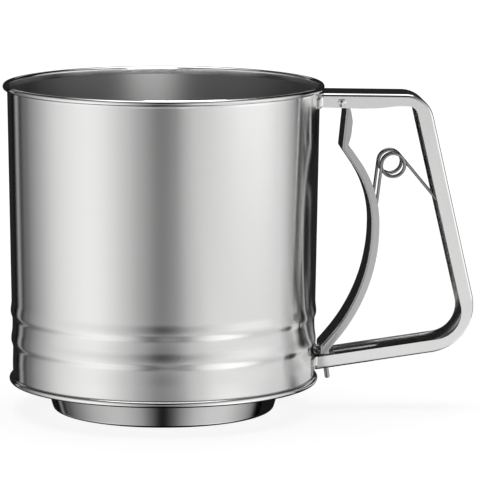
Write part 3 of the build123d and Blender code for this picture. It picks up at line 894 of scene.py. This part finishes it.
def spring_half(side):
    """One coil of the double torsion spring, with its two legs and half of the crossbar."""
    first_y, last_y = 4.6, 7.5
    leaves_handle, leaves_trigger, whole_turns = 39.7, 173.0, 2
    leg, bar = 21.6, (115.9, 79.45)
    steps = 150
    down = radians(leaves_trigger)
    turn = radians(leaves_trigger - leaves_handle + 360 * whole_turns)
    hold = (COIL[0] + COIL_RADIUS * cos(down), COIL[1] + COIL_RADIUS * sin(down))
    path = [(hold[0] - leg * sin(down), side * last_y, hold[1] + leg * cos(down))]
    for k in range(steps + 1):
        a = down - turn * k / steps
        y = side * (last_y + (first_y - last_y) * k / steps)
        path.append((COIL[0] + COIL_RADIUS * cos(a), y, COIL[1] + COIL_RADIUS * sin(a)))
    path += rounded([path[-1], (bar[0], side * first_y, bar[1]), (bar[0], 0.0, bar[1])], (1.5,), step=8)[1:]
    vertices, faces = tube(path, WIRE, sides=20, round_ends=False)
    name = "spring_left" if side < 0 else "spring_right"
    piece = new_piece(name, vertices, faces, wire_steel, None, sharp=60)
    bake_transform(piece)
    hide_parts(*(["spring_coils"] if side < 0 else ["spring_legs"]))


pivot_pin()
link_eyelet()
link_wire()
for side in (-1, 1):
    spring_half(side)

# The pieces that keep their CAD shape
for name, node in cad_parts.items():
    if not node.hide_render:
        node.data.materials.clear()
        node.data.materials.append(polished if name == "cap_nut" else inner_steel)
        round_edges(node, 0.12)

# ---------------------------------------------------------------- camera

# Where the camera stands, how it is turned from looking at the cup's axis, and its lens
AZIMUTH, DISTANCE, HEIGHT = radians(3.0), 1586.041, 309.903
PAN, TILT, ROLL = radians(1.121), radians(8.636), radians(0.2)
LENS_MM, SENSOR_MM = 296.19, 36.0
level = Vector((sin(AZIMUTH + PAN), cos(AZIMUTH + PAN), 0))
ahead = (level * cos(TILT) - Vector((0, 0, 1)) * sin(TILT)).normalized()
right = ahead.cross(Vector((0, 0, 1))).normalized()
up = right.cross(ahead)
across = right * cos(ROLL) + up * sin(ROLL)
upright = up * cos(ROLL) - right * sin(ROLL)
lens = bpy.data.cameras.new("camera")
lens.lens = LENS_MM
lens.sensor_width = SENSOR_MM
lens.clip_start = 0.05
lens.clip_end = 50.0
camera = bpy.data.objects.new("camera", lens)
bpy.context.scene.collection.objects.link(camera)
placing = Matrix((across, upright, -ahead)).transposed().to_4x4()
placing.translation = Vector((-DISTANCE * sin(AZIMUTH), -DISTANCE * cos(AZIMUTH), HEIGHT)) * MM
camera.matrix_world = placing
bpy.context.scene.camera = camera

# ---------------------------------------------------------------- light and floor


def stage_plane(name, size, place, colour, rough=0.6):
    """A flat stage object, which isn't part of the sifter."""
    mesh = bpy.data.meshes.new(name)
    x, y = size[0] / 2, size[1] / 2
    mesh.from_pydata([(-x, -y, 0), (x, -y, 0), (x, y, 0), (-x, y, 0)], [], [(0, 1, 2, 3)])
    plane = bpy.data.objects.new(name, mesh)
    plane.matrix_world = place
    bpy.context.scene.collection.objects.link(plane)
    material = bpy.data.materials.new(name)
    material.use_nodes = True
    shader = material.node_tree.nodes["Principled BSDF"]
    shader.inputs["Base Color"].default_value = (*colour, 1.0)
    shader.inputs["Roughness"].default_value = rough
    shader.inputs["Specular IOR Level"].default_value = 0.0
    mesh.materials.append(material)
    return plane


def soft_box(name, place, aim, size, power):
    """A large rectangular light at place that faces aim."""
    data = bpy.data.lights.new(name, "AREA")
    data.shape = "RECTANGLE"
    data.size, data.size_y = size
    data.energy = power
    light = bpy.data.objects.new(name, data)
    light.location = place
    light.rotation_mode = "QUATERNION"
    light.rotation_quaternion = (Vector(aim) - Vector(place)).to_track_quat("-Z", "Y")
    bpy.context.scene.collection.objects.link(light)
    light.visible_camera = False
    return light


def fade_out(plane, start, end, strength):
    """Makes a stage plane glow, and fade to clear between two distances from its own middle."""
    nodes, links = plane.data.materials[0].node_tree.nodes, plane.data.materials[0].node_tree.links
    shader = nodes["Principled BSDF"]
    shader.inputs["Emission Color"].default_value = (1, 1, 1, 1)
    shader.inputs["Emission Strength"].default_value = strength
    place = nodes.new("ShaderNodeTexCoord")
    far = nodes.new("ShaderNodeVectorMath")
    far.operation = "LENGTH"
    links.new(place.outputs["Object"], far.inputs[0])
    share = nodes.new("ShaderNodeMapRange")
    share.interpolation_type = "SMOOTHSTEP"
    share.inputs["From Min"].default_value = start
    share.inputs["From Max"].default_value = end
    links.new(far.outputs["Value"], share.inputs["Value"])
    clear = nodes.new("ShaderNodeBsdfTransparent")
    mix = nodes.new("ShaderNodeMixShader")
    links.new(share.outputs["Result"], mix.inputs["Fac"])
    links.new(shader.outputs["BSDF"], mix.inputs[1])
    links.new(clear.outputs["BSDF"], mix.inputs[2])
    links.new(mix.outputs["Shader"], nodes["Material Output"].inputs["Surface"])


def veil(plane, share):
    """Lets a share of what lies behind a stage plane through it."""
    nodes, links = plane.data.materials[0].node_tree.nodes, plane.data.materials[0].node_tree.links
    mix = nodes.new("ShaderNodeMixShader")
    mix.inputs["Fac"].default_value = share
    links.new(nodes["Principled BSDF"].outputs["BSDF"], mix.inputs[1])
    links.new(nodes.new("ShaderNodeBsdfTransparent").outputs["BSDF"], mix.inputs[2])
    links.new(mix.outputs["Shader"], nodes["Material Output"].inputs["Surface"])


def glow(plane, strength):
    """Gives a stage plane its own white light."""
    shader = plane.data.materials[0].node_tree.nodes["Principled BSDF"]
    shader.inputs["Emission Color"].default_value = (1, 1, 1, 1)
    shader.inputs["Emission Strength"].default_value = strength


def table_ring(name, inner, outer, steps=180):
    """A black stage ring on the table, under the edge of the cup's foot: painted shadow that only reflections
    see.
    """
    plane = stage_plane(name, (1, 1), Matrix.Translation((0, 0, -0.0003)), BLACK)
    plane.data.clear_geometry()
    angles = [2 * pi * i / steps for i in range(steps + 1)]
    points = [(radius * cos(a), radius * sin(a), 0) for radius in (inner, outer) for a in angles]
    count = steps + 1
    plane.data.from_pydata(points, [], [(i, i + 1, count + i + 1, count + i) for i in range(steps)])
    return plane


BLACK = (0.0, 0.0, 0.0)
PAPER = (0.95, 0.95, 0.95)

floor = stage_plane("floor", (2.6, 2.6), Matrix.Translation((0, 0, -0.0006)), (0.28, 0.28, 0.28))
fade_out(floor, 0.15, 0.7, 0.86)
floor.visible_glossy = False

# Cards that only reflections see: the table right of the cup, split in two under the handle
card = stage_plane("table_card", (1, 1), Matrix.Translation((0, 0, -0.0002)), PAPER)
for vertex, corner in zip(card.data.vertices, ((0.07, -0.022), (0.14, -1.3), (0.6, -1.3), (0.6, -0.022))):
    vertex.co = (*corner, 0)
side_card = stage_plane("table_side", (0.12, 0.12), Matrix.Translation((0.15, 0.062, -0.0002)), PAPER)

# The table round the foot dimmed by a ring of painted shadow, and a soft dark spot on the table in front
near = table_ring("table_near_shadow", 0.046, 0.066)
# The ring lets half of what lies behind it through: painted shadow under the cup's overhang, in reflections
# of the foot
veil(near, 0.5)
front = stage_plane("table_front", (0.09, 0.09), Matrix.Translation((0.002, -0.1, -0.0003)), BLACK)
fade_out(front, 0.006, 0.028, 0.36)

# A glowing upright card above the bowl
bowl_place = Matrix.Translation((0.008, -0.02, 0.2)) @ Matrix.Rotation(pi / 2, 4, "X")
bowl_card = stage_plane("bowl_card", (0.036, 0.1), bowl_place, BLACK)
glow(bowl_card, 7.0)
glow(card, 0.3)
glow(side_card, 0.3)
for plane in (card, side_card, near, front, bowl_card):
    plane.visible_camera = False
    plane.visible_diffuse = False
    plane.visible_shadow = False

# Brightness of the studio round the compass, as an angle in degrees from the camera's side, and a level
STUDIO_LEVELS = (
    (-180, 0.02), (-155, 0.02), (-147, 0.03), (-142, 0.45), (-137, 0.04), (-131, 0.16), (-122, 0.27),
    (-98, 0.7), (-75, 1.0), (-50, 1.0), (-28, 0.57), (-12, 0.12), (2, 0.07), (16, 0.4), (31, 0.86),
    (50, 1.2), (70, 1.25), (84, 1.05), (102, 0.66), (110, 0.4), (116, 0.03), (130, 0.02), (180, 0.02),
)
BRIGHTEST = 1.25


def studio_world():
    """White to the camera. To the sifter, soft bright sides, a dim front, a dark back and a bright top."""
    world = bpy.data.worlds.new("studio")
    world.use_nodes = True
    bpy.context.scene.world = world
    nodes, links = world.node_tree.nodes, world.node_tree.links
    nodes.clear()

    def math(operation, first, second=None, third=None):
        node = nodes.new("ShaderNodeMath")
        node.operation = operation
        for socket, value in zip(node.inputs, (first, second, third)):
            if isinstance(value, (int, float)):
                socket.default_value = value
            elif value is not None:
                links.new(value, socket)
        return node.outputs["Value"]

    def step(value, start, end, low=0.0, high=1.0):
        node = nodes.new("ShaderNodeMapRange")
        node.interpolation_type = "SMOOTHSTEP"
        node.inputs["From Min"].default_value = start
        node.inputs["From Max"].default_value = end
        node.inputs["To Min"].default_value = low
        node.inputs["To Max"].default_value = high
        links.new(value, node.inputs["Value"])
        return node.outputs["Result"]

    place = nodes.new("ShaderNodeTexCoord")
    parts = nodes.new("ShaderNodeSeparateXYZ")
    links.new(place.outputs["Generated"], parts.inputs["Vector"])
    azimuth = math("ARCTAN2", parts.outputs["X"], math("MULTIPLY", parts.outputs["Y"], -1.0))
    share = math("MULTIPLY_ADD", azimuth, 0.5 / pi, 0.5)
    ramp = nodes.new("ShaderNodeValToRGB")
    ramp.color_ramp.interpolation = "CARDINAL"
    stops = ramp.color_ramp.elements
    stops[1].color = (STUDIO_LEVELS[-1][1] / BRIGHTEST,) * 3 + (1.0,)
    for angle, level in STUDIO_LEVELS[:-1]:
        stop = stops[0] if angle == -180 else stops.new((angle + 180) / 360)
        stop.color = (level / BRIGHTEST,) * 3 + (1.0,)
    links.new(share, ramp.inputs["Fac"])
    height = parts.outputs["Z"]
    depth = parts.outputs["Y"]

    # The sides: dimmer towards the top, a little brighter low down, dark straight down and low in front
    around = math("MULTIPLY", ramp.outputs["Color"], BRIGHTEST)
    span = math("MULTIPLY", step(height, 0.0, 0.75, 1.0, 0.15), step(height, -0.97, -0.75))
    sides = math("MULTIPLY", around, span)
    sides = math("MULTIPLY", sides, step(height, -0.3, -0.55, 1.0, 1.15))
    low_front = math("MULTIPLY", step(height, -0.25, -0.55), step(depth, -0.72, -0.9))
    sides = math("MULTIPLY", sides, math("MULTIPLY_ADD", low_front, -0.75, 1.0))

    # The lit table in front of the cup, the bright top, and a bright patch high behind the cup
    table = math("MULTIPLY", step(height, 0.03, -0.12), step(height, -0.55, -0.35))
    table = math("MULTIPLY", math("MULTIPLY", table, step(depth, -0.8, -0.97)), 0.36)
    overhead = math("MULTIPLY", step(height, 0.86, 0.95), 0.9)
    behind = math("MULTIPLY", step(depth, 0.8, 0.9), step(height, 0.3, 0.42))
    behind = math("MULTIPLY", math("MULTIPLY", behind, step(height, 0.8, 0.65)), 0.8)
    total = math("ADD", math("ADD", sides, table), math("ADD", overhead, behind))
    studio = nodes.new("ShaderNodeBackground")
    links.new(total, studio.inputs["Strength"])
    seen = nodes.new("ShaderNodeBackground")
    seen.inputs["Strength"].default_value = 1.1
    seen.inputs["Color"].default_value = (1, 1, 1, 1)
    studio.inputs["Color"].default_value = (1, 1, 1, 1)
    ray = nodes.new("ShaderNodeLightPath")
    choose = nodes.new("ShaderNodeMixShader")
    out = nodes.new("ShaderNodeOutputWorld")
    links.new(ray.outputs["Is Camera Ray"], choose.inputs["Fac"])
    links.new(studio.outputs["Background"], choose.inputs[1])
    links.new(seen.outputs["Background"], choose.inputs[2])
    links.new(choose.outputs["Shader"], out.inputs["Surface"])


studio_world()
soft_box("overhead", (0.0, 0.3, 1.7), (0.0, 0.0, 0.0), (1.6, 1.2), 9.0)

bpy.context.scene.view_settings.view_transform = "Standard"
